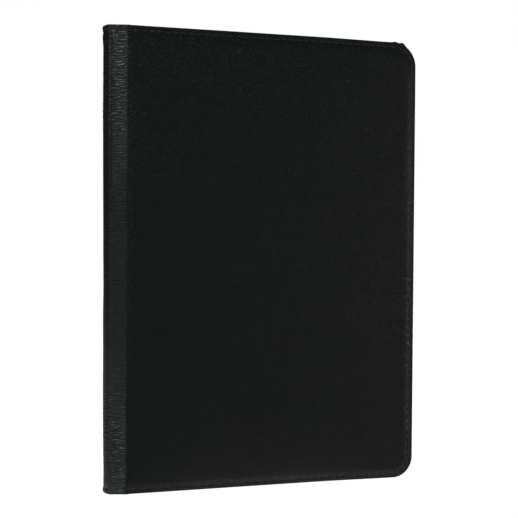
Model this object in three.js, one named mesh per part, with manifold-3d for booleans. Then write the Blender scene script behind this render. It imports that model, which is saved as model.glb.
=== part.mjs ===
// Folio case for a ten-inch class tablet, closed and standing on its lower edge.
// Units are millimetres. X runs from the spine (-) to the free edge (+), Y from the
// front cover (-) to the back cover (+), Z up. The origin is the middle of the base.
import * as THREE from 'three';
import { mergeVertices } from 'three/addons/utils/BufferGeometryUtils.js';
import Module from 'manifold-3d';

const wasm = await Module();
wasm.setup();

// ---- overall size -----------------------------------------------------------
const HEIGHT = 256;            // Z, lower hem to upper hem
const DEPTH = 18;              // Y, front leather to back leather, closed
const X_FREE = 93.5;           // free edge of both covers
const X_SPINE = -93.5;         // outermost face of the spine
const X_CREASE = -85.4;        // fold line between a cover and the spine
const Y_FACE = DEPTH / 2;      // outer face of each cover
const CORNER_R = 13.5;         // free corners of the covers

// ---- tablet that the case is made for ---------------------------------------
const TABLET_W = 174.1;
const TABLET_H = 250.6;
const TABLET_T = 7.5;

// ---- layers of a cover, measured inwards from its outer face ------------------
const SKIN_T = 0.85;           // leather face
const FOAM = [0.95, 1.55];
const BOARD = [1.65, 2.65];
const FLANGE = [2.75, 3.2];    // leather turned in over the edge of the board
const LINING = [3.3, 3.6];
const EDGE_T = 1.2;            // leather round the edge of the board
const FLANGE_W = 10;           // how far the leather is turned in
const X_HINGE_END = -84.0;     // where the full-thickness cover begins
const X_TONGUE = -85.0;        // where its leather face ends, by the fold line

// ---- stitching ----------------------------------------------------------------
const STITCH_INSET = 2.6;      // middle of the stitch line from the edge
const GROOVE_W = 1.2;
const GROOVE_D = 0.45;
const THREAD_W = 0.7;
const THREAD = [0.05, 0.33];

// ---- spine ----------------------------------------------------------------------
const SHOULDER_Y = 3.8;        // half width of the flat of the spine
const SHOULDER_R = 3.0;
const SPINE_END = 0.6;         // leather stops this far from the fold line
const STIFFENER = [0.95, 1.95];

// ---- tray -------------------------------------------------------------------------
const TRAY_WALL = 1.25;
const TRAY_CLEAR = 0.35;       // play round the tablet
const TRAY_X0 = -85.4;
const TRAY_Y = [-5.0, 5.2];
const TRAY_FLOOR = 1.2;
const TRAY_LIP_T = 1.2;        // thickness of the retaining lip
const TRAY_LIP = 0.9;          // how far the lip reaches over the screen's border
const TRAY_R = 11;
const GRIP_LEN = 12.2;              // corner grip, along each wall
const GRIP_LEN_BUTTON = 14.65;      // the one beside the top button notch
const GRIP_GAP = 0.3;
const BOND = [5.26, 5.36];

// ---- camera window -------------------------------------------------------------------
const CAM_X = 77;
const CAM_Z = 240;
const CAM_R = 8.2;
const RING_R = [6.9, 7.9];

// ---- magnets -----------------------------------------------------------------------------
const MAGNET_T = [1.7, 2.6];
const CLOSING_MAGNET = { x: 86, z: [66, 190], w: 4, h: 20 };
const SLEEP_MAGNET = { x: 86, z: 128, w: 4, h: 12 };

// ---- small tools ---------------------------------------------------------------------------
const solid = (geometry) => {
  const g = geometry.clone();
  g.deleteAttribute('normal');
  g.deleteAttribute('uv');
  const m = mergeVertices(g, 1e-5);
  return new wasm.Manifold(new wasm.Mesh({
    numProp: 3,
    vertProperties: new Float32Array(m.attributes.position.array),
    triVerts: new Uint32Array(m.index.array),
  }));
};

const geometryOf = (manifold) => {
  const mesh = manifold.getMesh();
  const g = new THREE.BufferGeometry();
  const p = new Float32Array(mesh.numVert * 3);
  for (let i = 0; i < mesh.numVert; i += 1) {
    for (let k = 0; k < 3; k += 1) p[3 * i + k] = mesh.vertProperties[i * mesh.numProp + k];
  }
  g.setAttribute('position', new THREE.BufferAttribute(p, 3));
  g.setIndex(new THREE.BufferAttribute(new Uint32Array(mesh.triVerts), 1));
  g.computeVertexNormals();
  return g;
};

// Outline in X and Z, thickness from y0 to y1.
const plate = (shape, y0, y1, curve = 8) => {
  const g = new THREE.ExtrudeGeometry(shape, { depth: y1 - y0, bevelEnabled: false, curveSegments: curve });
  g.rotateX(Math.PI / 2);
  g.translate(0, y1, 0);
  return g;
};

// Outline in X and Y, height from z0 to z1.
const prism = (points, z0, z1) => {
  const s = new THREE.Shape(points.map(([x, y]) => new THREE.Vector2(x, y)));
  const g = new THREE.ExtrudeGeometry(s, { depth: z1 - z0, bevelEnabled: false });
  g.translate(0, 0, z0);
  return g;
};

const block = (x0, x1, y0, y1, z0, z1) => {
  const g = new THREE.BoxGeometry(x1 - x0, y1 - y0, z1 - z0);
  g.translate((x0 + x1) / 2, (y0 + y1) / 2, (z0 + z1) / 2);
  return g;
};

// Rectangle with square corners at the spine and its free corners rounded by r.
const coverShape = (x0, inset, r) => {
  const x1 = X_FREE - inset;
  const z0 = inset;
  const z1 = HEIGHT - inset;
  const s = new THREE.Shape();
  s.moveTo(x0, z0);
  s.lineTo(x1 - r, z0);
  s.absarc(x1 - r, z0 + r, r, -Math.PI / 2, 0, false);
  s.lineTo(x1, z1 - r);
  s.absarc(x1 - r, z1 - r, r, 0, Math.PI / 2, false);
  s.lineTo(x0, z1);
  s.closePath();
  return s;
};

const roundRect = (x0, x1, z0, z1, r) => {
  const s = new THREE.Shape();
  s.moveTo(x0 + r, z0);
  s.lineTo(x1 - r, z0);
  s.absarc(x1 - r, z0 + r, r, -Math.PI / 2, 0, false);
  s.lineTo(x1, z1 - r);
  s.absarc(x1 - r, z1 - r, r, 0, Math.PI / 2, false);
  s.lineTo(x0 + r, z1);
  s.absarc(x0 + r, z1 - r, r, Math.PI / 2, Math.PI, false);
  s.lineTo(x0, z0 + r);
  s.absarc(x0 + r, z0 + r, r, Math.PI, 1.5 * Math.PI, false);
  return s;
};

// Corners of an open or closed outline turned into short arcs.
const filleted = (points, radii, steps = 4) => {
  const out = [];
  points.forEach((p, i) => {
    const r = radii[i];
    if (!r) { out.push(p); return; }
    const a = points[(i + points.length - 1) % points.length];
    const b = points[(i + 1) % points.length];
    const P = new THREE.Vector2(...p);
    const u = new THREE.Vector2(...a).sub(P).normalize();
    const v = new THREE.Vector2(...b).sub(P).normalize();
    const half = Math.acos(THREE.MathUtils.clamp(u.dot(v), -1, 1)) / 2;
    const cut = r / Math.tan(half);
    const c = P.clone().add(u.clone().add(v).normalize().multiplyScalar(r / Math.sin(half)));
    const s = P.clone().addScaledVector(u, cut).sub(c);
    const e = P.clone().addScaledVector(v, cut).sub(c);
    let turn = Math.atan2(e.y, e.x) - Math.atan2(s.y, s.x);
    while (turn > Math.PI) turn -= 2 * Math.PI;
    while (turn < -Math.PI) turn += 2 * Math.PI;
    for (let k = 0; k <= steps; k += 1) {
      const q = s.clone().rotateAround(new THREE.Vector2(), (turn * k) / steps).add(c);
      out.push([q.x, q.y]);
    }
  });
  return out;
};

const layer = (side, d0, d1) => (side < 0 ? [-Y_FACE + d0, -Y_FACE + d1] : [Y_FACE - d1, Y_FACE - d0]);

const group = new THREE.Group();
const look = (color, roughness, metalness = 0) => new THREE.MeshStandardMaterial({ color, roughness, metalness });
const add = (parent, name, geometry, material) => {
  const mesh = new THREE.Mesh(geometry, material);
  mesh.name = name;
  parent.add(mesh);
};

const LEATHER = [0x1b1c1c, 0.55];
const FABRIC = [0x2a2a2c, 0.9];
const PLASTIC = [0x17181a, 0.45];
const RUBBER = [0x1c1d1f, 0.7];

// ---- a cover: leather, foam, board, lining and thread -------------------------------------------
const cameraHole = (r) => {
  const s = new THREE.Shape();
  s.absarc(CAM_X, CAM_Z, r, 0, 2 * Math.PI, false);
  return solid(plate(s, -20, 20, 12));
};

const makeCover = (side, prefix, parent, magnets, window) => {
  const on = (d0, d1) => layer(side, d0, d1);
  const cutWindow = (m, r = CAM_R) => (window ? m.subtract(cameraHole(r)) : m);

  // Leather: a face, an edge turned over the board, and a flange turned in behind it.
  let skin = solid(plate(coverShape(X_TONGUE, 0, CORNER_R), ...on(0, FLANGE[1])));
  skin = skin.subtract(solid(plate(coverShape(-95, EDGE_T, CORNER_R - EDGE_T), ...on(SKIN_T, FLANGE[0]))));
  skin = skin.subtract(solid(plate(coverShape(-95, FLANGE_W, 5), ...on(FLANGE[0] - 0.05, FLANGE[1] + 1))));
  const [tongue0, tongue1] = on(SKIN_T, FLANGE[1] + 1);
  skin = skin.subtract(solid(block(-95, X_HINGE_END, tongue0, tongue1, -1, HEIGHT + 1)));
  const grooveOut = STITCH_INSET - GROOVE_W / 2;
  const grooveIn = STITCH_INSET + GROOVE_W / 2;
  const groove = solid(plate(coverShape(X_HINGE_END + 0.4, grooveOut, CORNER_R - grooveOut), ...on(-1, GROOVE_D)))
    .subtract(solid(plate(coverShape(-95, grooveIn, CORNER_R - grooveIn), ...on(-2, GROOVE_D + 1))));
  skin = skin.subtract(groove);
  add(parent, `${prefix}_skin`, geometryOf(cutWindow(skin)), look(...LEATHER));

  const threadOut = STITCH_INSET - THREAD_W / 2;
  const threadIn = STITCH_INSET + THREAD_W / 2;
  const thread = solid(plate(coverShape(X_HINGE_END + 0.8, threadOut, CORNER_R - threadOut), ...on(...THREAD)))
    .subtract(solid(plate(coverShape(-95, threadIn, CORNER_R - threadIn), ...on(THREAD[0] - 1, THREAD[1] + 1))));
  add(parent, `${prefix}_thread`, geometryOf(thread), look(0x26282a, 0.7));

  const inner = (x0, inset, d) => solid(plate(coverShape(x0, inset, CORNER_R - inset), ...on(...d)));
  add(parent, `${prefix}_foam`, geometryOf(cutWindow(inner(X_HINGE_END + 0.4, EDGE_T + 0.3, FOAM))), look(0x8d8f90, 0.9));

  let board = inner(X_HINGE_END + 0.4, EDGE_T + 0.3, BOARD);
  magnets.forEach(({ x, z, w, h }) => {
    board = board.subtract(solid(block(x - w / 2 - 0.3, x + w / 2 + 0.3, -20, 20, z - h / 2 - 0.3, z + h / 2 + 0.3)));
  });
  add(parent, `${prefix}_board`, geometryOf(cutWindow(board)), look(0x8a7f70, 0.9));
  add(parent, `${prefix}_lining`, geometryOf(cutWindow(inner(X_HINGE_END, 1.4, LINING))), look(...FABRIC));
};

// ---- front cover -----------------------------------------------------------------------------------
const front = new THREE.Group();
group.add(front);
const closing = CLOSING_MAGNET.z.map((z) => ({ ...CLOSING_MAGNET, z }));
makeCover(-1, 'front_cover', front, [...closing, SLEEP_MAGNET], false);
const magnet = (name, { x, z, w, h }) => add(front, name,
  block(x - w / 2, x + w / 2, ...layer(-1, ...MAGNET_T), z - h / 2, z + h / 2), look(0x9a9da0, 0.3, 0.9));
magnet('closing_magnet_lower', closing[0]);
magnet('closing_magnet_upper', closing[1]);
magnet('sleep_magnet', SLEEP_MAGNET);

// ---- back cover -----------------------------------------------------------------------------------
const back = new THREE.Group();
group.add(back);
makeCover(1, 'back_cover', back, [], true);

const ringProfile = [
  [RING_R[0], 0], [RING_R[1], 0], [RING_R[1], 3.35], [RING_R[0], 3.35], [RING_R[0], 0],
].map(([r, y]) => new THREE.Vector2(r, y));
const ring = new THREE.LatheGeometry(ringProfile, 36);
ring.translate(CAM_X, 5.6, CAM_Z);
add(back, 'camera_window_ring', geometryOf(solid(ring)), look(...PLASTIC));

// ---- spine ------------------------------------------------------------------------------------------
// Seen from above: a slope from each fold line to a shoulder, and a flat between the shoulders.
const spine = new THREE.Group();
group.add(spine);
const foot = new THREE.Vector2(X_CREASE, -Y_FACE);
const shoulder = new THREE.Vector2(X_SPINE, -SHOULDER_Y);
const along = shoulder.clone().sub(foot).normalize();
const inward = new THREE.Vector2(along.y, -along.x);
const slopeLength = foot.distanceTo(shoulder);
const onSlope = (s, d) => [foot.x + along.x * s + inward.x * d, foot.y + along.y * s + inward.y * d];
const turnAt = (d) => {
  const s = (X_CREASE - X_SPINE + (inward.x - 1) * d) / -along.x;
  return onSlope(s, d);
};
const flip = ([x, y]) => [x, -y];

const strip = (start, d0, d1, r0, r1) => {
  const half = [onSlope(start, d0), turnAt(d0)];
  const halfIn = [turnAt(d1), onSlope(start, d1)];
  const points = [...half, ...half.map(flip).reverse(), ...halfIn.map(flip).reverse(), ...halfIn];
  const radii = [0, r0, r0, 0, 0, r1, r1, 0];
  return filleted(points, radii);
};

const grooveBand = (z) => solid(prism(strip(1.2, -1, GROOVE_D, SHOULDER_R + 1, SHOULDER_R - GROOVE_D),
  z - GROOVE_W / 2, z + GROOVE_W / 2));
const spineSkin = solid(prism(strip(SPINE_END, 0, SKIN_T, SHOULDER_R, SHOULDER_R - SKIN_T), 0, HEIGHT))
  .subtract(grooveBand(STITCH_INSET)).subtract(grooveBand(HEIGHT - STITCH_INSET));
add(spine, 'spine_skin', geometryOf(spineSkin), look(...LEATHER));

const threadBand = (z) => solid(prism(strip(1.6, THREAD[0], THREAD[1], SHOULDER_R - THREAD[0], SHOULDER_R - THREAD[1]),
  z - THREAD_W / 2, z + THREAD_W / 2));
add(spine, 'spine_thread_lower', geometryOf(threadBand(STITCH_INSET)), look(0x26282a, 0.7));
add(spine, 'spine_thread_upper', geometryOf(threadBand(HEIGHT - STITCH_INSET)), look(0x26282a, 0.7));

add(spine, 'spine_stiffener', block(X_SPINE + STIFFENER[0], X_SPINE + STIFFENER[1],
  -SHOULDER_Y + 1.75, SHOULDER_Y - 1.75, 4, HEIGHT - 4), look(0x3a3b3c, 0.6));

// The lining follows the slopes and passes over the stiffener on the flat.
const lineFlat = (d, y) => [X_SPINE + d, y];
const liningOut = [onSlope(1.3, SKIN_T + 0.1), onSlope(slopeLength - 2.2, SKIN_T + 0.1), lineFlat(2.05, -2.6)];
const liningIn = [lineFlat(2.35, -2.4), onSlope(slopeLength - 2.5, SKIN_T + 0.4), onSlope(1.3, SKIN_T + 0.4)];
add(spine, 'spine_lining', prism([
  ...liningOut, ...liningOut.map(flip).reverse(), ...liningIn.map(flip).reverse(), ...liningIn,
], 1.4, HEIGHT - 1.4), look(...FABRIC));

// ---- tray --------------------------------------------------------------------------------------------
// A shallow shell with a floor, a wall and a thin lip that snaps over the tablet's border.
const trayW = TABLET_W + 2 * (TRAY_WALL + TRAY_CLEAR);
const trayH = TABLET_H + 2 * (TRAY_WALL + TRAY_CLEAR);
const tx = [TRAY_X0, TRAY_X0 + trayW];
const tz = [(HEIGHT - trayH) / 2, (HEIGHT + trayH) / 2];
const txm = (tx[0] + tx[1]) / 2;
const rect = (i, r) => roundRect(tx[0] + i, tx[1] - i, tz[0] + i, tz[1] - i, r);
const wallIn = TRAY_Y[0] + TRAY_LIP_T;
let tray = solid(plate(rect(0, TRAY_R), TRAY_Y[0], TRAY_Y[1]))
  .subtract(solid(plate(rect(TRAY_WALL, TRAY_R - TRAY_WALL), wallIn, TRAY_Y[1] - TRAY_FLOOR)))
  .subtract(solid(plate(rect(TRAY_WALL + TRAY_LIP, TRAY_R - TRAY_WALL - TRAY_LIP), TRAY_Y[0] - 1, wallIn + 0.5)));
const NOTCH_Y = TRAY_Y[1] - TRAY_FLOOR;   // notches reach down to the floor
const notches = [
  [txm - 37, txm + 37, -2, 4.5],                  // charging socket and speakers
  [txm - 70, txm - 48, HEIGHT - 4.5, HEIGHT + 2], // headphone socket
  [txm + 52, txm + 74, HEIGHT - 4.5, HEIGHT + 2], // top button
  [tx[1] - 3.5, tx[1] + 3, 196, 230],             // volume buttons
];
notches.forEach(([x0, x1, z0, z1]) => {
  tray = tray.subtract(solid(block(x0, x1, -8, NOTCH_Y, z0, z1)));
});
tray = tray.subtract(cameraHole(CAM_R));
// Each corner of the rim is a softer moulded grip of its own, set between the straight walls of the rigid base.
[
  ['lower_left', tx[0] - 1, tx[0] + GRIP_LEN, tz[0] - 1, tz[0] + GRIP_LEN],
  ['lower_right', tx[1] - GRIP_LEN, tx[1] + 1, tz[0] - 1, tz[0] + GRIP_LEN],
  ['upper_left', tx[0] - 1, tx[0] + GRIP_LEN, tz[1] - GRIP_LEN, tz[1] + 1],
  ['upper_right', tx[1] - GRIP_LEN_BUTTON, tx[1] + 1, tz[1] - GRIP_LEN, tz[1] + 1],
].forEach(([corner, x0, x1, z0, z1]) => {
  const keep = solid(block(x0 + GRIP_GAP, x1 - GRIP_GAP, -8, NOTCH_Y - GRIP_GAP, z0 + GRIP_GAP, z1 - GRIP_GAP));
  add(back, `corner_grip_${corner}`, geometryOf(tray.intersect(keep)), look(...RUBBER));
  tray = tray.subtract(solid(block(x0, x1, -8, NOTCH_Y, z0, z1)));
});
add(back, 'tray_shell', geometryOf(tray), look(...PLASTIC));

const bond = solid(plate(roundRect(tx[0] + 3, tx[1] - 3, tz[0] + 3, tz[1] - 3, 9.5), ...BOND)).subtract(cameraHole(CAM_R + 0.3));
add(back, 'tray_bond_sheet', geometryOf(bond), look(0xc9c4b4, 0.8));

export default group;
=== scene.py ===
"""Closed leather folio for a tablet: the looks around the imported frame."""

import math

import bmesh
import bpy
import numpy as np
from mathutils import Matrix, Vector


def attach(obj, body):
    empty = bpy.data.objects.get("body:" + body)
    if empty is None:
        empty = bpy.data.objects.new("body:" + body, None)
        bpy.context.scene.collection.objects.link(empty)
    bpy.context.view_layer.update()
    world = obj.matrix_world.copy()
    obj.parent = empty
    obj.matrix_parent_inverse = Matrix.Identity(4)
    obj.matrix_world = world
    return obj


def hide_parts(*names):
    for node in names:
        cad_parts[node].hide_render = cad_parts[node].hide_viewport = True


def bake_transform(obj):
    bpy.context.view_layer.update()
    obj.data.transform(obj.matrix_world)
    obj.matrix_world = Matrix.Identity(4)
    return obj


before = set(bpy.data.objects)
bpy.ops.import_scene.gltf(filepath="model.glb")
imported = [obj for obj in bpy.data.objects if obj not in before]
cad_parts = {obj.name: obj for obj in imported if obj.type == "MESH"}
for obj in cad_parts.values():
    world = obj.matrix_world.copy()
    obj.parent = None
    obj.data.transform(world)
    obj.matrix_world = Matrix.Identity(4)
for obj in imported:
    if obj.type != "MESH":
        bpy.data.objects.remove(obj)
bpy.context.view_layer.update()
scene = bpy.context.scene
MM = 0.001

# ------------------------------------------------------------------ sizes, in millimetres
H = 256.0
XF = 93.5
XC = -85.4
XS = -93.5
YF = 9.0
R_LOW, R_HIGH = 12.3, 14.0     # free corners, lower and upper
SH_X, SH_Y = -92.55, 5.35
X_BEND = -82.9          # where the outer leather turns down the spine's slope
X_JOIN = -79.0          # where the cover's loops meet the spine's columns
STITCH = 2.9            # stitch line from the edge
PITCH = 4.6
FINE = 0.28
PIVOT = {-1: np.array([XC, -YF]), 1: np.array([XC, YF])}


def smooth(t):
    t = np.clip(t, 0, 1)
    return t * t * (3 - 2 * t)


def rng(seed):
    return np.random.default_rng(seed)


class Noise:
    """Smooth value noise on a plane, the same every run."""

    def __init__(self, seed, n=64):
        self.n = n
        self.t = rng(seed).uniform(-1, 1, (n, n))

    def __call__(self, x, y):
        x, y = np.asarray(x, float), np.asarray(y, float)
        xi, yi = np.floor(x).astype(int), np.floor(y).astype(int)
        fx, fy = x - xi, y - yi
        fx, fy = fx * fx * (3 - 2 * fx), fy * fy * (3 - 2 * fy)
        n = self.n
        a = self.t[xi % n, yi % n]
        b = self.t[(xi + 1) % n, yi % n]
        c = self.t[xi % n, (yi + 1) % n]
        d = self.t[(xi + 1) % n, (yi + 1) % n]
        return (a * (1 - fx) + b * fx) * (1 - fy) + (c * (1 - fx) + d * fx) * fy


N1, N2, N3, N4 = Noise(11), Noise(12), Noise(13), Noise(14)

# ------------------------------------------------------------------ the leather's section
# (distance in from the edge, depth under the outer face), from the turned-in flange
# round the edge, over the hem, through the stitch line and on to the padded field.
HEM = [
    (10.0, 3.24), (8.0, 3.26), (5.0, 3.28), (3.3, 3.28), (2.6, 3.30), (1.9, 3.26), (1.3, 3.14), (0.8, 2.92),
    (0.4, 2.6), (0.14, 2.2), (0.02, 1.78), (0.0, 1.4), (0.07, 1.02), (0.24, 0.7), (0.52, 0.44), (0.86, 0.29),
    (1.25, 0.22), (1.65, 0.25), (2.0, 0.34), (2.3, 0.46), (2.6, 0.60), (2.9, 0.68), (3.2, 0.68), (3.55, 0.61),
    (4.0, 0.48), (4.6, 0.315), (5.3, 0.165), (6.2, 0.065), (7.2, 0.02), (8.3, 0.008), (9.2, 0.0),
]
FIELD = [10.0, 12.0, 14.0, 16.0, 18.0, 20.0] + [float(v) for v in range(24, 129, 4)]
FIRST_FACE = 11          # index in HEM where the outer side of the edge begins


def corner_radius(zeta, r0):
    return max(0.0, min(r0 - zeta if zeta <= 7 else r0 - 7 + (zeta - 7) * 0.12, H / 2 - zeta))


def arc_points(cx, cz, r, a0, a1, n):
    a = np.linspace(a0, a1, n + 1)
    return np.stack([cx + r * np.cos(a), cz + r * np.sin(a)], 1)


NB, NA, NR = 152, 18, 200


def loop(zeta, x_left=X_JOIN, nb=NB, na=NA, nr=NR):
    """One open loop at that inset: lower left, free corner, free edge, free corner, upper left."""
    ra, rb = corner_radius(zeta, R_LOW), corner_radius(zeta, R_HIGH)
    x1 = XF - zeta
    z0, z1 = zeta, H - zeta
    bottom = np.stack([np.linspace(x_left, x1 - ra, nb + 1), np.full(nb + 1, z0)], 1)
    c0 = arc_points(x1 - ra, z0 + ra, ra, -math.pi / 2, 0, na)
    side = np.stack([np.full(nr + 1, x1), np.linspace(z0 + ra, z1 - rb, nr + 1)], 1)
    c1 = arc_points(x1 - rb, z1 - rb, rb, 0, math.pi / 2, na)
    top = np.stack([np.linspace(x1 - rb, x_left, nb + 1), np.full(nb + 1, z1)], 1)
    return np.concatenate([bottom, c0[1:], side[1:], c1[1:], top[1:]])


def stitch_run(n=400):
    """The stitch line's own path and its length at each sample, to place the puckers."""
    p = loop(STITCH, XC)
    s = np.concatenate([[0], np.cumsum(np.linalg.norm(np.diff(p, axis=0), axis=1))])
    return p, s


RUN_P, RUN_S = stitch_run()
N_STITCH = int(round(RUN_S[-1] / PITCH))
STEP = RUN_S[-1] / N_STITCH


def crown(x, z):
    """Padding: the field stands a little proud, with slow hand-made unevenness."""
    dx = np.minimum(XF - x, 200.0)
    dz = np.minimum(z, H - z)
    rise = smooth((dx - 6) / 50) * smooth((dz - 6) / 60)
    slow = 0.07 * N1(x / 38 + 5, z / 46) + 0.03 * N2(x / 15 + 3, z / 17)
    pad = 0.20 * smooth((np.minimum(dx, dz) - 3.2) / 4.6)
    return 0.24 * rise + pad + slow * smooth((np.minimum(dx, dz) - 4) / 14)


def pucker(s, zeta):
    """Leather pulled down at each needle hole and swelling a little between them."""
    ph = (s % STEP) / STEP
    hole = np.exp(-((np.minimum(ph, 1 - ph) * STEP) / 0.55) ** 2)
    near = np.exp(-((zeta - STITCH) / 1.0) ** 2)
    swell = np.exp(-((zeta - 1.2) / 0.7) ** 2) * 0.10 * np.cos(2 * math.pi * ph)
    wide = np.exp(-((zeta - 4.4) / 1.5) ** 2) * 0.05 * np.cos(2 * math.pi * ph)
    return 0.13 * hole * near + swell + wide


# ------------------------------------------------------------------ the section across the spine
def fillet_path(points, radii, step=0.42):
    """A polyline with its corners rounded, sampled about every step: positions, normals and run."""
    pts = [np.array(p, float) for p in points]
    segs = []
    here = pts[0]
    for i in range(1, len(pts) - 1):
        p, r = pts[i], radii[i]
        u = pts[i - 1] - p
        v = pts[i + 1] - p
        u, v = u / np.linalg.norm(u), v / np.linalg.norm(v)
        half = math.acos(np.clip(u @ v, -1, 1)) / 2
        cut = r / math.tan(half)
        a, b = p + u * cut, p + v * cut
        c = p + (u + v) / np.linalg.norm(u + v) * (r / math.sin(half))
        segs.append(("l", here, a))
        segs.append(("a", c, a - c, b - c))
        here = b
    segs.append(("l", here, pts[-1]))
    out = []
    for s in segs:
        if s[0] == "l":
            n = max(1, int(np.linalg.norm(s[2] - s[1]) / step))
            new = [s[1] + (s[2] - s[1]) * k / n for k in range(n + 1)]
        else:
            a0 = math.atan2(s[2][1], s[2][0])
            a1 = math.atan2(s[3][1], s[3][0])
            d = (a1 - a0 + math.pi) % (2 * math.pi) - math.pi
            rad = np.linalg.norm(s[2])
            n = max(4, int(abs(d) * rad / (step * 0.6)))
            new = [s[1] + rad * np.array([math.cos(a0 + d * k / n), math.sin(a0 + d * k / n)]) for k in range(n + 1)]
        out += new if not out else new[1:]
    q = np.array(out)
    t = np.gradient(q, axis=0)
    t /= np.linalg.norm(t, axis=1)[:, None]
    run = np.concatenate([[0], np.cumsum(np.linalg.norm(np.diff(q, axis=0), axis=1))])
    return q, t, run


# Front half: from the cover's field, over the fold line, down the slope, round the shoulder, to the middle.
SEC_Q, SEC_T, SEC_RUN = fillet_path([(X_JOIN, -YF), (X_BEND, -YF), (SH_X, -SH_Y), (XS, -1.9), (XS, 0.0)], [0, 3.4, 0.8, 4.0, 0])
SEC_N = np.stack([SEC_T[:, 1], -SEC_T[:, 0]], 1)        # outward when walking towards -X
if (SEC_N[0] @ np.array([0, -1.0])) < 0:
    SEC_N = -SEC_N
RUN_FOLD = SEC_RUN[np.argmin(np.linalg.norm(SEC_Q - np.array([X_BEND, -YF]), axis=1))]
RUN_SHOULDER = SEC_RUN[np.argmin(np.linalg.norm(SEC_Q - np.array([SH_X, -SH_Y]), axis=1))]
RUN_END = SEC_RUN[-1]


def wrinkle(u, z):
    """Fine cross-wrinkles of the spine: short ridges along X that meet in loose chevrons."""
    on = smooth((u - RUN_FOLD - 0.6) / 1.2)
    k = 2 * math.pi / 1.4
    mid = RUN_FOLD + 5.0
    bend = 0.55 * np.abs(u - mid) / 4.0 * (0.6 + 0.8 * N3(z / 14 + 7, 0.3 + 0 * u))
    ph = k * (z + bend + 0.55 * N1(u / 2.6, z / 2.3) + 0.35 * N2(u / 1.1, z / 1.2))
    amp = 0.65 + 0.5 * N4(u / 2.1 + 9, z / 3.6)
    d = np.minimum(z, H - z)
    strong = 0.26 + 0.95 * (1 - smooth((d - 34) / 42)) + 0.16 * N2(0.5 + 0 * z, z / 9)
    return on * strong * (0.085 * np.sin(ph) * amp + 0.025 * N3(u / 1.2, z / 0.8))


def spine_shape(u, z):
    """How far the leather stands out from the nominal section."""
    d = np.minimum(z, H - z)
    top = z > H / 2
    groove = -0.10 * np.exp(-(((u - RUN_FOLD) + 1.0) / 1.6) ** 2)
    sag = -0.10 * np.exp(-((u - (RUN_FOLD + RUN_SHOULDER) / 2 - 0.5) / 2.6) ** 2) * smooth((d - 3) / 12)
    flare = np.where(top, 0.62, 0.10) * smooth(1 - d / 13.0) * smooth((u - RUN_FOLD - 3) / 5.0)
    slow = 0.10 * N2(u / 7 + 1, z / 19) * smooth((u - RUN_FOLD) / 4)
    lean = (0.40 * smooth((z - 120) / 70) - 0.06 * smooth((120 - z) / 70) - 0.50 * smooth((44 - z) / 36) * smooth(z / 9)) * smooth((u - RUN_SHOULDER + 2.0) / 2.0)
    return groove + sag + flare + slow + lean + wrinkle(u, z) * smooth(d / 1.5)


def thickness_factor(u):
    """The hem is as thick as the cover on the cover, and only leather and lining on the spine."""
    cover = 1 - smooth((u - (RUN_FOLD - 2.6)) / 2.0)
    flat = smooth((u - (RUN_SHOULDER - 1.5)) / 2.5)
    return 0.42 + 0.58 * cover + 0.30 * flat


def settle(x, z):
    """Hand-made truth: the free edge hangs a touch lower than the spine, with two gathers at one corner."""
    out = -0.45 * smooth((x - 30) / 55) * (smooth((z - 190) / 66) + smooth((66 - z) / 66))
    drop = np.where(x > XF - R_HIGH, R_HIGH - np.sqrt(np.maximum(R_HIGH ** 2 - (x - XF + R_HIGH) ** 2, 0)), 0)
    near = smooth((z - (H - drop - 3.6)) / 3.0)
    gather = 0.45 * np.exp(-((x - 79.8) / 1.5) ** 2) + 1.15 * np.exp(-((x - 85.0) / 1.5) ** 2)
    return out + gather * near


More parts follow.
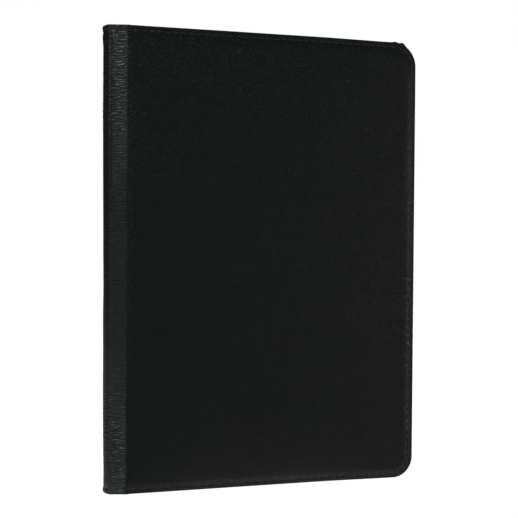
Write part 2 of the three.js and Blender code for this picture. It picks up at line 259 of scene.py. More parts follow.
# ------------------------------------------------------------------ mesh assembly
class Builder:
    def __init__(self):
        self.v = []
        self.f = []
        self.n = 0

    def add(self, pts):
        pts = np.asarray(pts, float)
        self.v.append(pts)
        i = np.arange(self.n, self.n + len(pts))
        self.n += len(pts)
        return i

    def quads(self, a, b, flip=False):
        for i in range(len(a) - 1):
            q = [int(a[i]), int(a[i + 1]), int(b[i + 1]), int(b[i])]
            self.f.append(q[::-1] if flip else q)

    def face(self, ids, flip=False):
        ids = [int(i) for i in ids]
        self.f.append(ids[::-1] if flip else ids)

    def mesh(self, name, merge=2e-6, mirror_y=False):
        co = np.concatenate(self.v)
        if not mirror_y:
            co[:, 2] += settle(co[:, 0], co[:, 2]) * (co[:, 1] < 0)
        co = co * MM
        faces = self.f
        if mirror_y:
            co = co * np.array([1, -1, 1])
            faces = [f[::-1] for f in faces]
        me = bpy.data.meshes.new(name)
        me.from_pydata([tuple(p) for p in co], [], faces)
        rest = me.attributes.new("rest", "FLOAT_VECTOR", "POINT")
        rest.data.foreach_set("vector", co.astype(np.float32).ravel())
        x, y, z = np.concatenate(self.v).T
        zone = me.attributes.new("zone", "FLOAT_VECTOR", "POINT")
        spine = smooth((X_BEND + 0.3 - x) / 1.6)
        inset = np.minimum(np.minimum(z, H - z), XF - x)
        dx, dz = XF - x, z
        corner = (dx < R_LOW) & (dz < R_LOW)
        inset = np.where(corner, R_LOW - np.hypot(R_LOW - dx, R_LOW - dz), inset)
        # leather drawn tight over the edge of the padding, most on the free edge
        # a band a few mm in from the edge, over the padding's roll-off, most on the free edge: a painted highlight,
        # with a lighter base colour and more specular there
        painted_highlight_band = np.exp(-((inset - 3.2) / 1.5) ** 2) * np.where(z < H - 6, 1.0, 0.0)
        roll = painted_highlight_band * np.clip(smooth((x - 60) / 30) * smooth((H - 8 - z) / 22) + 0.6 * smooth((16 - z) / 8), 0, 1) * (inset > 1.2)
        ends = 1 - smooth((np.minimum(z, H - z) - 30) / 45)
        grain = np.where(spine > 0.01, 1 + spine * (0.75 * ends - 0.35), 1.0)
        # zone: the spine mask, the painted highlight band (roll) and the grain strength
        zone.data.foreach_set("vector", np.stack([spine, roll, grain], 1).astype(np.float32).ravel())
        bm = bmesh.new()
        bm.from_mesh(me)
        bmesh.ops.remove_doubles(bm, verts=bm.verts, dist=merge)
        bmesh.ops.dissolve_degenerate(bm, edges=bm.edges, dist=1e-7)
        loose = [v for v in bm.verts if not v.link_faces]
        bmesh.ops.delete(bm, geom=loose, context="VERTS")
        for f in bm.faces:
            f.smooth = True
        bm.to_mesh(me)
        bm.free()
        o = bpy.data.objects.new(name, me)
        scene.collection.objects.link(o)
        return o


def section_point(j, u_off, z):
    """Point on column j of the spine's section, standing out by u_off (mm)."""
    q = SEC_Q[j][None, :] + SEC_N[j][None, :] * np.asarray(u_off)[:, None]
    return np.stack([q[:, 0], q[:, 1], z], 1)


def leather(name, side, window=None):
    """The whole skin of one cover and its half of the spine, as one sheet."""
    b = Builder()
    rows = [(z, e, True) for z, e in HEM] + [(z, None, False) for z in FIELD]
    loops = []
    for zeta, eta, hem in rows:
        p = loop(zeta)
        s_here = np.concatenate([[0], np.cumsum(np.linalg.norm(np.diff(p, axis=0), axis=1))])
        s = s_here / s_here[-1] * RUN_S[-1] if s_here[-1] > 0 else s_here
        # the run along the stitch line, matched straight by straight
        base = loop(STITCH)
        sb = np.concatenate([[0], np.cumsum(np.linalg.norm(np.diff(base, axis=0), axis=1))]) + (X_JOIN - XC)
        if hem:
            k = HEM.index((zeta, eta))
            depth = np.full(len(p), eta)
            if k >= FIRST_FACE - 2:
                depth = depth + pucker(sb, zeta) * (1 if zeta > 0.3 else 0.4)
                depth = depth - crown(p[:, 0], p[:, 1]) * smooth((zeta - 3) / 6)
            else:
                depth = depth + 0.04 * N2(sb / 9, zeta)
        else:
            depth = -crown(p[:, 0], p[:, 1])
        loops.append(b.add(np.stack([p[:, 0], -YF + depth, p[:, 1]], 1)))
    for k in range(len(loops) - 1):
        a, c = loops[k], loops[k + 1]
        b.quads(a[1:-1], c[1:-1])
    # columns of the spine
    fine = np.arange(FIELD[0], H - FIELD[0] + 1e-6, FINE)
    hem_z = [z for z, _ in HEM]
    zs = np.concatenate([hem_z, fine, [H - z for z in hem_z[::-1]]])
    es = np.concatenate([[e for _, e in HEM], np.zeros(len(fine)), [e for _, e in HEM[::-1]]])
    is_hem = np.concatenate([np.ones(len(HEM), bool), np.zeros(len(fine), bool), np.ones(len(HEM), bool)])
    face_row = np.concatenate([np.arange(len(HEM)) >= FIRST_FACE, np.ones(len(fine), bool), np.arange(len(HEM))[::-1] >= FIRST_FACE])
    nh = len(HEM)
    # column 0 reuses the loops' left ends and adds the fine rows between them
    col0 = np.full(len(zs), -1)
    for k in range(nh):
        col0[k] = loops[k][0]
        col0[len(zs) - 1 - k] = loops[k][-1]
    coarse = {}
    for i, z in enumerate(FIELD):
        k = nh + int(round((z - FIELD[0]) / FINE))
        col0[k] = loops[nh + i][0]
        col0[len(zs) - 1 - k] = loops[nh + i][-1]
        coarse[i] = k
    missing = np.where(col0 < 0)[0]
    extra = b.add(np.stack([np.full(len(missing), X_JOIN), -YF - crown(np.full(len(missing), X_JOIN), zs[missing]), zs[missing]], 1))
    col0[missing] = extra
    # faces beside column 0
    for k in range(nh - 1):
        b.face([loops[k][0], loops[k][1], loops[k + 1][1], loops[k + 1][0]])
        b.face([loops[k][-1], loops[k][-2], loops[k + 1][-2], loops[k + 1][-1]], flip=True)
    chain = [nh - 1] + [coarse[i] for i in range(len(FIELD))]
    for i in range(len(chain) - 1):
        ka, kb = chain[i], chain[i + 1]
        la = loops[nh - 1 + i]
        lb = loops[nh + i]
        low = [col0[k] for k in range(ka, kb + 1)]
        b.face([la[0], la[1], lb[1]] + low[::-1][:-1])
        up = [col0[len(zs) - 1 - k] for k in range(ka, kb + 1)]
        b.face([la[-1], la[-2], lb[-2]] + up[::-1][:-1], flip=True)
    # the rest of the columns
    prev = col0
    for j in range(1, len(SEC_Q)):
        u = SEC_RUN[j]
        tf = thickness_factor(u)
        deep = np.where(face_row, es, es * tf)
        deep = np.where(face_row & is_hem, es * (0.75 if u > RUN_FOLD else 1.0), deep)
        stand = spine_shape(np.full(len(zs), u), zs)
        field = crown(SEC_Q[j][0] + 0 * zs, zs) * (1 - smooth((u - 1.0) / 3.0))
        w = smooth(u / 1.5)
        stand = stand * w
        stand = np.where(face_row, stand + field * smooth((np.minimum(zs, H - zs) - 3) / 6), np.minimum(stand, 0.0) * 0.5 + 0.3 * np.maximum(stand, 0))
        sp = (u - RUN_FOLD) % STEP
        hole = np.exp(-((np.minimum(sp, STEP - sp)) / 0.6) ** 2) * np.exp(-((np.minimum(zs, H - zs) - STITCH) / 0.9) ** 2) * 0.15
        off = stand - deep - np.where(face_row, hole, 0)
        col = b.add(section_point(j, off, zs))
        b.quads(prev, col)
        prev = col
    if window:
        cut_window(b, window, -YF, LIP_LEATHER)
    return b.mesh(name, mirror_y=side > 0)


# (radius, depth under the face) round the window: over the rim, down its wall, turned under
LIP_LEATHER = [(9.9, -0.02), (9.4, 0.0), (9.0, 0.05), (8.72, 0.17), (8.52, 0.36), (8.42, 0.6), (8.38, 1.2), (8.38, 2.6), (8.44, 3.1), (8.7, 3.3), (9.6, 3.3)]
LIP_LINING = [(9.4, 0.0), (8.8, 0.0), (8.62, 0.05), (8.56, 0.14), (8.6, 0.24), (8.9, 0.3)]


def cut_window(b, window, face_y, lip, reach=11.6, inward=1):
    """Open a round window in a sheet: drop the faces there, then turn its edge over a ring of rows."""
    cx, cz = window
    pts = np.concatenate(b.v)
    keep, edges = [], {}
    for f in b.f:
        q = pts[f]
        near = np.hypot(q[:, 0] - cx, q[:, 2] - cz)
        on_face = np.abs(q[:, 1] - face_y).max() < 0.9
        if on_face and near.min() < reach - 1.2:
            continue
        keep.append(f)
    kept = {tuple(f) for f in keep}
    for f in b.f:
        if tuple(f) in kept:
            continue
        for i in range(len(f)):
            e = (f[i], f[(i + 1) % len(f)])
            if (e[1], e[0]) in edges:
                del edges[(e[1], e[0])]
            else:
                edges[e] = True
    b.f = keep
    follow = {a: c for a, c in edges}
    start = next(iter(follow))
    ring = [start]
    while follow[ring[-1]] != start:
        ring.append(follow[ring[-1]])
    ang = np.unwrap([math.atan2(pts[i, 2] - cz, pts[i, 0] - cx) for i in ring] + [math.atan2(pts[start, 2] - cz, pts[start, 0] - cx)])
    split = max(1, int(math.ceil(96 / len(ring))))
    a = np.concatenate([np.linspace(ang[i], ang[i + 1], split, endpoint=False) for i in range(len(ring))])
    base = pts[ring, 1].mean()
    rows = []
    for r, d in lip:
        rows.append(b.add(np.stack([cx + r * np.cos(a), np.full(len(a), base + d * inward), cz + r * np.sin(a)], 1)))
    n = len(a)
    for i in range(len(ring)):
        j = (i + 1) % len(ring)
        inner = [int(rows[0][(i * split + k) % n]) for k in range(split + 1)]
        b.f.append([ring[i], ring[j]] + inner[::-1])
    for r0, r1 in zip(rows[:-1], rows[1:]):
        for k in range(n):
            b.f.append([int(r0[k]), int(r0[(k + 1) % n]), int(r1[(k + 1) % n]), int(r1[k])])


def lining(name, side, window=None):
    """Microfibre inside a cover and its half of the spine: a thin sheet with a soft cut edge."""
    b = Builder()
    edge = [(3.2, 3.34), (2.2, 3.3), (1.55, 3.32), (1.36, 3.42), (1.42, 3.54), (1.7, 3.61), (2.1, 3.63), (2.6, 3.74 - 0.16), (3.1, 3.63), (4.2, 3.62), (6.0, 3.62)]
    field = [8.0, 10.0, 12.0, 16.0] + [float(v) for v in range(24, 129, 8)]
    loops = []
    for zeta, eta in edge + [(z, 3.62) for z in field]:
        p = loop(zeta, X_JOIN, 76, 12, 100)
        d = np.full(len(p), eta) + 0.03 * N2(p[:, 0] / 13, p[:, 1] / 11) * (zeta > 4)
        loops.append(b.add(np.stack([p[:, 0], -YF + d, p[:, 1]], 1)))
    for k in range(len(loops) - 1):
        b.quads(loops[k], loops[k + 1], flip=True)
    zeta = [z for z, _ in edge] + field
    eta = [e for _, e in edge] + [3.62] * len(field)
    zs = np.array(zeta + [H - z for z in zeta[::-1]][1:])
    es = np.array(eta + eta[::-1][1:])
    col = np.array([l[0] for l in loops] + [l[-1] for l in loops[::-1]][1:])
    prev = col
    for j in range(1, len(SEC_Q)):
        u = SEC_RUN[j]
        fall = smooth((u - (RUN_FOLD - 3.2)) / 2.6)
        lift = smooth((u - (RUN_SHOULDER - 2.6)) / 2.2)
        base = 3.62 - (3.62 - 1.3) * fall + 1.15 * lift
        off = -(base + (es - 3.62) * (1 - 0.4 * fall)) + spine_shape(np.full(len(zs), u), zs) * 0.35 * smooth(u / 1.5)
        c = b.add(section_point(j, off, zs))
        b.quads(prev, c, flip=True)
        prev = c
    if window:
        cut_window(b, window, -YF + 3.62, LIP_LINING, inward=-1)
    return b.mesh(name, mirror_y=side > 0)


# ------------------------------------------------------------------ stitches
def stitch_mesh(name, items, radius=0.29):
    """items: centre, direction along, outward normal, length. Each is a short arched thread that dives at both ends."""
    b = Builder()
    sides, rings = 7, 9
    for c, t, n, length, lift in items:
        c, t, n = (np.array(v, float) for v in (c, t, n))
        t /= np.linalg.norm(t)
        n /= np.linalg.norm(n)
        w = np.cross(t, n)
        prev = None
        first = None
        for k in range(rings):
            a = k / (rings - 1)
            x = (a - 0.5) * length
            bow = 1 - (2 * a - 1) ** 2
            rad = radius * (0.55 + 0.45 * (1 - (2 * a - 1) ** 6))
            mid = c + t * x + n * (lift * bow - 0.50 * (1 - bow))
            ang = np.arange(sides) / sides * 2 * math.pi + 0.5 * k
            ring = mid + rad * (np.cos(ang)[:, None] * w + np.sin(ang)[:, None] * n * 0.85)
            ids = b.add(ring)
            if prev is not None:
                for i in range(sides):
                    b.face([prev[i], prev[(i + 1) % sides], ids[(i + 1) % sides], ids[i]])
            else:
                first = ids
            prev = ids
        b.face(list(first[::-1]))
        b.face(list(prev))
    o = b.mesh(name)
    bm = bmesh.new()
    bm.from_mesh(o.data)
    bmesh.ops.recalc_face_normals(bm, faces=bm.faces)
    bm.to_mesh(o.data)
    bm.free()
    return o


def cover_stitches(name, side, depth, outward):
    """The run of stitches round one cover, on its outer or inner face."""
    items = []
    r = rng(31 + (side > 0) * 7 + (outward < 0) * 3)
    for i in range(N_STITCH):
        s = (i + 0.5) * STEP
        x = np.interp(s, RUN_S, RUN_P[:, 0])
        z = np.interp(s, RUN_S, RUN_P[:, 1])
        if x < XC + 2.2:
            continue
        x2 = np.interp(s + 0.2, RUN_S, RUN_P[:, 0])
        z2 = np.interp(s + 0.2, RUN_S, RUN_P[:, 1])
        t = np.array([x2 - x, 0, z2 - z])
        t /= np.linalg.norm(t)
        n = np.array([0, side * outward, 0.0])
        across = np.cross(t, n)
        t = t + across * (0.10 + 0.03 * r.standard_normal())
        sunk = 0.12 * smooth((z - 200) / 50) + 0.05 * r.standard_normal()
        y = side * (YF - depth - sunk * outward)
        items.append(((x, y, z), t, n, STEP * 0.66 + 0.35 * r.standard_normal(), 0.14 + 0.05 * r.standard_normal()))
    return stitch_mesh(name, items)


def spine_stitches(name):
    items = []
    r = rng(77)
    for side in (-1, 1):
        for z in (STITCH, H - STITCH):
            u = RUN_FOLD + STEP * 0.5
            while u < RUN_END - 0.3:
                j = int(np.argmin(np.abs(SEC_RUN - u)))
                q, t2, n2 = SEC_Q[j], SEC_T[j], SEC_N[j]
                lift = spine_shape(np.array([u]), np.array([z]))[0]
                p = q + n2 * (lift - 0.50)
                t = np.array([t2[0], t2[1] * -side, 0.09 * r.standard_normal() + 0.1])
                items.append(((p[0], -side * p[1], z), (t2[0], -side * t2[1], 0.12), (n2[0], -side * n2[1], 0), STEP * 0.74, 0.14))
                u += STEP
    return stitch_mesh(name, items)


# ------------------------------------------------------------------ materials
def material(name):
    m = bpy.data.materials.new(name)
    m.use_nodes = True
    nt = m.node_tree
    bsdf = nt.nodes["Principled BSDF"]
    return m, nt, bsdf


def node(nt, kind, **props):
    n = nt.nodes.new(kind)
    for k, v in props.items():
        setattr(n, k, v)
    return n


def rest_coords(nt):
    """The surface's own place at rest, from the mesh's rest attribute, so that grain would stay put if the piece were
    bent.
    """
    a = node(nt, "ShaderNodeAttribute", attribute_name="rest")
    return a.outputs["Vector"]


def mapped(nt, vec, scale, location=(0, 0, 0)):
    mp = node(nt, "ShaderNodeMapping")
    mp.inputs["Scale"].default_value = scale
    mp.inputs["Location"].default_value = location
    nt.links.new(vec, mp.inputs["Vector"])
    return mp.outputs["Vector"]


def blend_values(nt, fac, a, b):
    n = node(nt, "ShaderNodeMix", data_type="FLOAT")
    nt.links.new(fac, n.inputs["Factor"])
    nt.links.new(a, n.inputs["A"])
    nt.links.new(b, n.inputs["B"])
    return n.outputs["Result"]


def coords(nt, scale=(1, 1, 1)):
    tc = node(nt, "ShaderNodeTexCoord")
    mp = node(nt, "ShaderNodeMapping")
    mp.inputs["Scale"].default_value = scale
    nt.links.new(tc.outputs["Object"], mp.inputs["Vector"])
    return mp.outputs["Vector"]


def ramp(nt, fac, stops):
    n = node(nt, "ShaderNodeValToRGB")
    e = n.color_ramp.elements
    while len(e) < len(stops):
        e.new(0.5)
    for el, (p, c) in zip(e, stops):
        el.position = p
        el.color = (*c, 1) if len(c) == 3 else c
    nt.links.new(fac, n.inputs["Fac"])
    return n.outputs["Color"]


def noise(nt, vec, scale, detail=2.0, rough=0.5, distortion=0.0):
    n = node(nt, "ShaderNodeTexNoise")
    n.inputs["Scale"].default_value = scale
    n.inputs["Detail"].default_value = detail
    n.inputs["Roughness"].default_value = rough
    n.inputs["Distortion"].default_value = distortion
    nt.links.new(vec, n.inputs["Vector"])
    return n.outputs["Fac"]


def voronoi(nt, vec, scale, feature="F1", rand=1.0, smoothness=None):
    n = node(nt, "ShaderNodeTexVoronoi", feature=feature)
    n.inputs["Scale"].default_value = scale
    n.inputs["Randomness"].default_value = rand
    if smoothness is not None:
        n.inputs["Smoothness"].default_value = smoothness
    nt.links.new(vec, n.inputs["Vector"])
    return n.outputs["Distance"]


def maths(nt, op, a, b=None, clamp=False):
    n = node(nt, "ShaderNodeMath", operation=op, use_clamp=clamp)
    for i, v in enumerate((a, b)):
        if v is None:
            continue
        if isinstance(v, (int, float)):
            n.inputs[i].default_value = v
        else:
            nt.links.new(v, n.inputs[i])
    return n.outputs[0]


def bump(nt, height, distance, strength=1.0, normal=None):
    n = node(nt, "ShaderNodeBump")
    n.inputs["Strength"].default_value = strength
    n.inputs["Distance"].default_value = distance
    nt.links.new(height, n.inputs["Height"])
    if normal is not None:
        nt.links.new(normal, n.inputs["Normal"])
    return n.outputs["Normal"]


def leather_material():
    """Black lychee-grained synthetic leather; the grain is drawn out sideways where the spine bends it."""
    m, nt, bsdf = material("black_grained_leather")
    vec = rest_coords(nt)
    zone = node(nt, "ShaderNodeSeparateXYZ")
    za = node(nt, "ShaderNodeAttribute", attribute_name="zone")
    nt.links.new(za.outputs["Vector"], zone.inputs[0])
    on_spine, painted_highlight_mask, strength = zone.outputs["X"], zone.outputs["Y"], zone.outputs["Z"]

    warp = node(nt, "ShaderNodeTexNoise")
    warp.inputs["Scale"].default_value = 330.0
    warp.inputs["Detail"].default_value = 2.0
    nt.links.new(vec, warp.inputs["Vector"])

    def warped(amount):
        off = node(nt, "ShaderNodeVectorMath", operation="SCALE")
        nt.links.new(warp.outputs["Color"], off.inputs[0])
        off.inputs["Scale"].default_value = amount
        add = node(nt, "ShaderNodeVectorMath", operation="ADD")
        nt.links.new(vec, add.inputs[0])
        nt.links.new(off.outputs[0], add.inputs[1])
        return add.outputs[0]

    def pebbles(base, scale, cell, small):
        v = mapped(nt, base, scale)
        edge = voronoi(nt, v, 1000.0 / cell, "DISTANCE_TO_EDGE")
        hill = maths(nt, "POWER", maths(nt, "MULTIPLY", edge, 3.2, clamp=True), 0.55)
        dots = maths(nt, "MULTIPLY", voronoi(nt, v, 1000.0 / small, "F1"), -0.30)
        return maths(nt, "ADD", hill, dots)

    cover = pebbles(warped(0.0008), (0.70, 1.0, 1.20), 1.25, 0.62)
    spine = pebbles(warped(0.0005), (0.36, 0.45, 1.25), 2.0, 1.1)
    grain = blend_values(nt, on_spine, cover, spine)
    fine = noise(nt, vec, 2400.0, 3.0, 0.6)
    height = maths(nt, "ADD", grain, maths(nt, "MULTIPLY", fine, 0.22))
    height = maths(nt, "MULTIPLY", height, strength)
    normal = bump(nt, height, 0.00020, 1.0)

    broad = noise(nt, vec, 26.0, 3.0, 0.5)
    tone = maths(nt, "ADD", maths(nt, "MULTIPLY", grain, 0.5), maths(nt, "MULTIPLY", broad, 0.45))
    # painted highlight: the base colour is lighter, and the roughness lower, on the band in from the edge
    tone = maths(nt, "ADD", tone, maths(nt, "MULTIPLY", painted_highlight_mask, 0.15), clamp=True)
    colour = ramp(nt, tone, [(0.0, (0.0030, 0.0034, 0.0033)), (0.5, (0.0052, 0.0058, 0.0056)), (1.0, (0.0082, 0.0092, 0.0089))])
    nt.links.new(colour, bsdf.inputs["Base Color"])
    rough = node(nt, "ShaderNodeMapRange")
    nt.links.new(tone, rough.inputs["Value"])
    rough.inputs["To Min"].default_value = 0.52
    rough.inputs["To Max"].default_value = 0.36
    nt.links.new(rough.outputs[0], bsdf.inputs["Roughness"])
    nt.links.new(normal, bsdf.inputs["Normal"])
    # the spine's ends are handled most and shine a little more
    height_up = node(nt, "ShaderNodeSeparateXYZ")
    nt.links.new(vec, height_up.inputs[0])
    along = maths(nt, "MULTIPLY", height_up.outputs["Z"], 1 / 0.256)
    shine = ramp(nt, along, [(0.0, (0.74,) * 3), (0.22, (0.62,) * 3), (0.42, (0.45,) * 3), (0.62, (0.45,) * 3), (0.78, (0.58,) * 3), (1.0, (0.66,) * 3)])
    shine = blend_values(nt, on_spine, maths(nt, "ADD", 0.28, 0.0), shine)
    # the same band also gets a painted highlight in the specular level
    nt.links.new(maths(nt, "ADD", shine, maths(nt, "MULTIPLY", painted_highlight_mask, 0.56)), bsdf.inputs["Specular IOR Level"])
    return m


def thread_material():
    m, nt, bsdf = material("black_thread")
    vec = coords(nt)
    n1 = noise(nt, vec, 2400.0, 2.0)
    w = node(nt, "ShaderNodeTexWave", wave_type="BANDS", bands_direction="DIAGONAL")
    w.inputs["Scale"].default_value = 900.0
    w.inputs["Distortion"].default_value = 1.2
    nt.links.new(vec, w.inputs["Vector"])
    h = maths(nt, "ADD", w.outputs["Fac"], maths(nt, "MULTIPLY", n1, 0.5))
    colour = ramp(nt, h, [(0.1, (0.020, 0.020, 0.021)), (1.0, (0.062, 0.064, 0.066))])
    nt.links.new(colour, bsdf.inputs["Base Color"])
    nt.links.new(bump(nt, h, 0.00008, 0.6), bsdf.inputs["Normal"])
    bsdf.inputs["Roughness"].default_value = 0.5
    bsdf.inputs["Specular IOR Level"].default_value = 0.4
    return m


def fabric_material(name, dark, light, scale=1500.0):
    m, nt, bsdf = material(name)
    vec = coords(nt)
    n1 = noise(nt, vec, scale, 4.0, 0.65)
    n2 = noise(nt, vec, scale * 0.03, 3.0, 0.55)
    f = maths(nt, "ADD", maths(nt, "MULTIPLY", n1, 0.65), maths(nt, "MULTIPLY", n2, 0.35))
    nt.links.new(ramp(nt, f, [(0.25, dark), (0.75, light)]), bsdf.inputs["Base Color"])
    nt.links.new(bump(nt, n1, 0.00012, 0.7), bsdf.inputs["Normal"])
    bsdf.inputs["Roughness"].default_value = 0.92
    bsdf.inputs["Sheen Weight"].default_value = 0.35
    bsdf.inputs["Sheen Roughness"].default_value = 0.45
    return m


def plastic_material(name, dark, light, rough=(0.38, 0.5), grain=2200.0, depth=0.00003):
    m, nt, bsdf = material(name)
    vec = coords(nt)
    n1 = noise(nt, vec, grain, 3.0, 0.6)
    n2 = noise(nt, vec, 45.0, 3.0, 0.5)
    nt.links.new(ramp(nt, n2, [(0.3, dark), (0.7, light)]), bsdf.inputs["Base Color"])
    r = node(nt, "ShaderNodeMapRange")
    nt.links.new(n2, r.inputs["Value"])
    r.inputs["To Min"].default_value = rough[0]
    r.inputs["To Max"].default_value = rough[1]
    nt.links.new(r.outputs[0], bsdf.inputs["Roughness"])
    nt.links.new(bump(nt, n1, depth, 0.6), bsdf.inputs["Normal"])
    return m


def metal_material():
    m, nt, bsdf = material("nickel_plate")
    vec = coords(nt, (1, 1, 12))
    n1 = noise(nt, vec, 300.0, 3.0, 0.6)
    nt.links.new(ramp(nt, n1, [(0.2, (0.42, 0.43, 0.44)), (0.8, (0.6, 0.61, 0.62))]), bsdf.inputs["Base Color"])
    bsdf.inputs["Metallic"].default_value = 1.0
    r = node(nt, "ShaderNodeMapRange")
    nt.links.new(n1, r.inputs["Value"])
    r.inputs["To Min"].default_value = 0.22
    r.inputs["To Max"].default_value = 0.4
    nt.links.new(r.outputs[0], bsdf.inputs["Roughness"])
    return m


LEATHER = leather_material()
THREAD = thread_material()
LINING = fabric_material("lining_microfibre", (0.016, 0.0165, 0.018), (0.036, 0.037, 0.040))
FOAM = fabric_material("padding_foam", (0.22, 0.22, 0.22), (0.36, 0.36, 0.35), 900.0)
BOARD = fabric_material("grey_board", (0.22, 0.19, 0.15), (0.34, 0.30, 0.24), 1200.0)
TRAY = plastic_material("tray_plastic", (0.0095, 0.0098, 0.0105), (0.0145, 0.015, 0.016))
GRIP = plastic_material("corner_grip_rubber", (0.011, 0.011, 0.012), (0.017, 0.017, 0.018), (0.6, 0.75), 1500.0, 0.00005)
STIFF = plastic_material("stiffener_plastic", (0.03, 0.03, 0.03), (0.05, 0.05, 0.05))
BOND = plastic_material("adhesive_sheet", (0.42, 0.40, 0.34), (0.55, 0.53, 0.46), (0.5, 0.65))
METAL = metal_material()


def paint(o, m):
    o.data.materials.clear()
    o.data.materials.append(m)


# ------------------------------------------------------------------ pieces
def bisector(side):
    """Unit vector along the leather where it crosses the fold line, from the spine to the cover."""
    slope = np.array([XC - XS, -(YF - SH_Y)])
    slope /= np.linalg.norm(slope)
    t = slope + np.array([1.0, 0.0])
    t /= np.linalg.norm(t)
    if side > 0:
        t = t * np.array([1, -1])
    return t


def across(o, side, reach=1.9):
    """Bakes o's transform into its mesh; the fold line's direction and pivot are worked out, but nothing is bent."""
    t, p = bisector(side), PIVOT[side]
    if side < 0:
        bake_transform(o)
    else:
        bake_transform(o)


front_leather = leather("front_cover_leather", -1)
WINDOW = (77.0, 240.0)
back_leather = leather("back_cover_leather", 1, WINDOW)
front_lining = lining("front_lining_sheet", -1)
back_lining = lining("back_lining_sheet", 1, WINDOW)
for o, side, cad in (
    (front_leather, -1, ("front_cover_skin", "spine_skin")),
    (back_leather, 1, ("back_cover_skin",)),
):
    paint(o, LEATHER)
    across(o, side)
    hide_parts(*cad)
for o, side, cad in (
    (front_lining, -1, ("front_cover_lining", "spine_lining")),
    (back_lining, 1, ("back_cover_lining",)),
):
    paint(o, LINING)
    across(o, side)
    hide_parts(*cad)

for name, side, body, depth, outward, cad in (
    ("front_cover_stitches", -1, "front_cover", 0.32, 1, ("front_cover_thread",)),
    ("back_cover_stitches", 1, "back", 0.32, 1, ("back_cover_thread",)),
    ("front_lining_stitches", -1, "front_cover", 3.68, -1, ()),
    ("back_lining_stitches", 1, "back", 3.62, -1, ()),
):
    o = cover_stitches(name, side, depth, outward)
    paint(o, THREAD)
    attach(o, body)
    if cad:
        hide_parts(*cad)
o = spine_stitches("spine_stitches")
paint(o, THREAD)
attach(o, "spine")
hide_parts("spine_thread_lower", "spine_thread_upper")

# CAD nodes that stay: better materials, soft moulded edges
for n, m, bevel in (
    ("tray_shell", TRAY, 0.00035), ("corner_grip_lower_left", GRIP, 0.0003), ("corner_grip_lower_right", GRIP, 0.0003),
    ("corner_grip_upper_left", GRIP, 0.0003), ("corner_grip_upper_right", GRIP, 0.0003), ("camera_window_ring", TRAY, 0.00025), ("spine_stiffener", STIFF, 0.0001),
    ("front_cover_foam", FOAM, 0), ("back_cover_foam", FOAM, 0), ("front_cover_board", BOARD, 0),
    ("back_cover_board", BOARD, 0), ("tray_bond_sheet", BOND, 0), ("closing_magnet_lower", METAL, 0.00015),
    ("closing_magnet_upper", METAL, 0.00015), ("sleep_magnet", METAL, 0.00015),
):
    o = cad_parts[n]
    paint(o, m)
    o.data.shade_smooth()
    o.data.set_sharp_from_angle(angle=math.radians(32))
    if bevel:
        w = o.modifiers.new("weld", "WELD")
        w.merge_threshold = 1e-6
        bv = o.modifiers.new("bevel", "BEVEL")
        bv.width = bevel
        bv.segments = 3
        bv.limit_method = "ANGLE"
        bv.angle_limit = math.radians(32)
        bv.harden_normals = False

# ------------------------------------------------------------------ floor, light, camera
GLOW = 0.6
me = bpy.data.meshes.new("floor")
S = 3.0
me.from_pydata([(-S, -S, -0.0007), (S, -S, -0.0007), (S, S, -0.0007), (-S, S, -0.0007)], [], [(0, 1, 2, 3)])
floor = bpy.data.objects.new("floor", me)
scene.collection.objects.link(floor)
fm, nt, bsdf = material("floor_white")
bsdf.inputs["Base Color"].default_value = (0.86, 0.86, 0.86, 1)
bsdf.inputs["Roughness"].default_value = 0.9
bsdf.inputs["Specular IOR Level"].default_value = 0.1
em = node(nt, "ShaderNodeEmission")
em.inputs["Color"].default_value = (1, 1, 1, 1)
em.inputs["Strength"].default_value = 1.09
lp = node(nt, "ShaderNodeLightPath")
mx = node(nt, "ShaderNodeMixShader")
# the sheet under the case glows brightest close to it, a painted pool of bounce light for all but camera rays, and is
# seen as plain white
length = node(nt, "ShaderNodeVectorMath", operation="LENGTH")
nt.links.new(coords(nt, (1 / 0.135, 1 / 0.042, 1)), length.inputs[0])
glow = node(nt, "ShaderNodeMapRange", interpolation_type="SMOOTHSTEP")
nt.links.new(length.outputs["Value"], glow.inputs["Value"])
for key, val in (("From Min", 0.3), ("From Max", 1.0), ("To Min", GLOW), ("To Max", 0.0)):
    glow.inputs[key].default_value = val
seen = maths(nt, "MULTIPLY", lp.outputs["Is Camera Ray"], 0.95)
nt.links.new(maths(nt, "ADD", seen, maths(nt, "MULTIPLY", maths(nt, "SUBTRACT", 1.0, lp.outputs["Is Camera Ray"]), glow.outputs[0])), mx.inputs["Fac"])
nt.links.new(bsdf.outputs[0], mx.inputs[1])
nt.links.new(em.outputs[0], mx.inputs[2])
nt.links.new(mx.outputs[0], nt.nodes["Material Output"].inputs["Surface"])
paint(floor, fm)

world = bpy.data.worlds.new("studio")
scene.world = world
world.use_nodes = True
wt = world.node_tree
bg = wt.nodes["Background"]
bg.inputs["Color"].default_value = (0.94, 1.0, 0.97, 1)
bg.inputs["Strength"].default_value = 0.005
white = node(wt, "ShaderNodeBackground")
white.inputs["Color"].default_value = (1, 1, 1, 1)
white.inputs["Strength"].default_value = 1.0
wl = node(wt, "ShaderNodeLightPath")
wm = node(wt, "ShaderNodeMixShader")
wt.links.new(wl.outputs["Is Camera Ray"], wm.inputs["Fac"])
wt.links.new(bg.outputs[0], wm.inputs[1])
wt.links.new(white.outputs[0], wm.inputs[2])
wt.links.new(wm.outputs[0], wt.nodes["World Output"].inputs["Surface"])


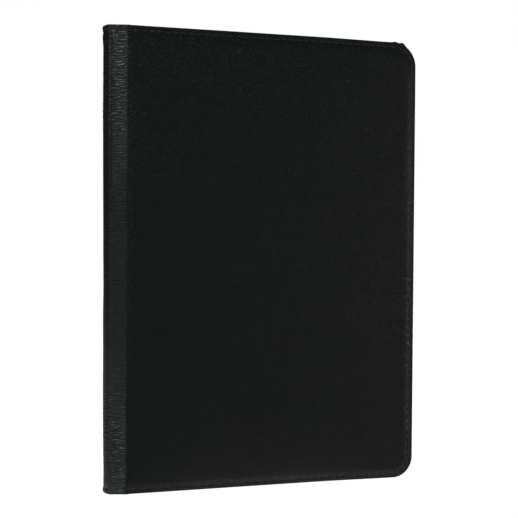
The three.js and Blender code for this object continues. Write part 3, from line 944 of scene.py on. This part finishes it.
def area(name, azimuth, elevation, distance, size, power, colour=(1, 1, 1), target=(0, 0, 0.128)):
    """Azimuth 0 stands in front (-Y), positive to the left (-X)."""
    a, e = math.radians(azimuth), math.radians(elevation)
    d = Vector((-math.sin(a) * math.cos(e), -math.cos(a) * math.cos(e), math.sin(e)))
    l = bpy.data.lights.new(name, "AREA")
    l.shape = "RECTANGLE"
    l.size, l.size_y = size
    l.energy = power
    l.color = colour
    o = bpy.data.objects.new(name, l)
    o.location = Vector(target) + d * distance
    o.rotation_euler = (-d).to_track_quat("-Z", "Y").to_euler()
    scene.collection.objects.link(o)
    return o


area("left_high", 41, 48, 1.3, (0.30, 0.30), 6.3, (0.91, 1.0, 0.98))
area("left_softbox", 25, 6, 1.3, (0.30, 0.5), 0.6, (0.78, 0.92, 1.0))
area("right_softbox", -57, 6, 1.3, (0.4, 0.5), 1.25, (0.96, 1.0, 0.95))
area("right_low", -68, -4.5, 0.9, (0.30, 0.05), 0.6, (0.98, 1.0, 0.98))
area("back_high", -172, 30, 1.3, (0.4, 0.4), 4.0)
area("back_right", -142, 14, 1.3, (0.4, 0.5), 3.0)

cam = bpy.data.cameras.new("camera")
cam.sensor_width = 36.0
CAM = dict(yaw=22.178, pitch=1.669, roll=0.376, f=1415.79, d=809.25, cx=-2.053, cz=120.06, py=15.0)
yaw, pit, rol = (math.radians(CAM[k]) for k in ("yaw", "pitch", "roll"))
v = Vector((math.sin(yaw) * math.cos(pit), math.cos(yaw) * math.cos(pit), -math.sin(pit)))
r = Vector((math.cos(yaw), -math.sin(yaw), 0))
u = r.cross(v)
r2 = r * math.cos(rol) + u * math.sin(rol)
u2 = u * math.cos(rol) - r * math.sin(rol)
pos = Vector((CAM["cx"], 0, CAM["cz"])) * MM - v * CAM["d"] * MM
cam.lens = CAM["f"] * 36.0 / 518
cam_o = bpy.data.objects.new("camera", cam)
m3 = Matrix((r2, u2, -v)).transposed()
cam_o.matrix_world = Matrix.Translation(pos) @ m3.to_4x4()
scene.collection.objects.link(cam_o)
scene.camera = cam_o
cam.shift_y = CAM["py"] / 518
cam.clip_start, cam.clip_end = 0.01, 20
scene.view_settings.view_transform = "Standard"
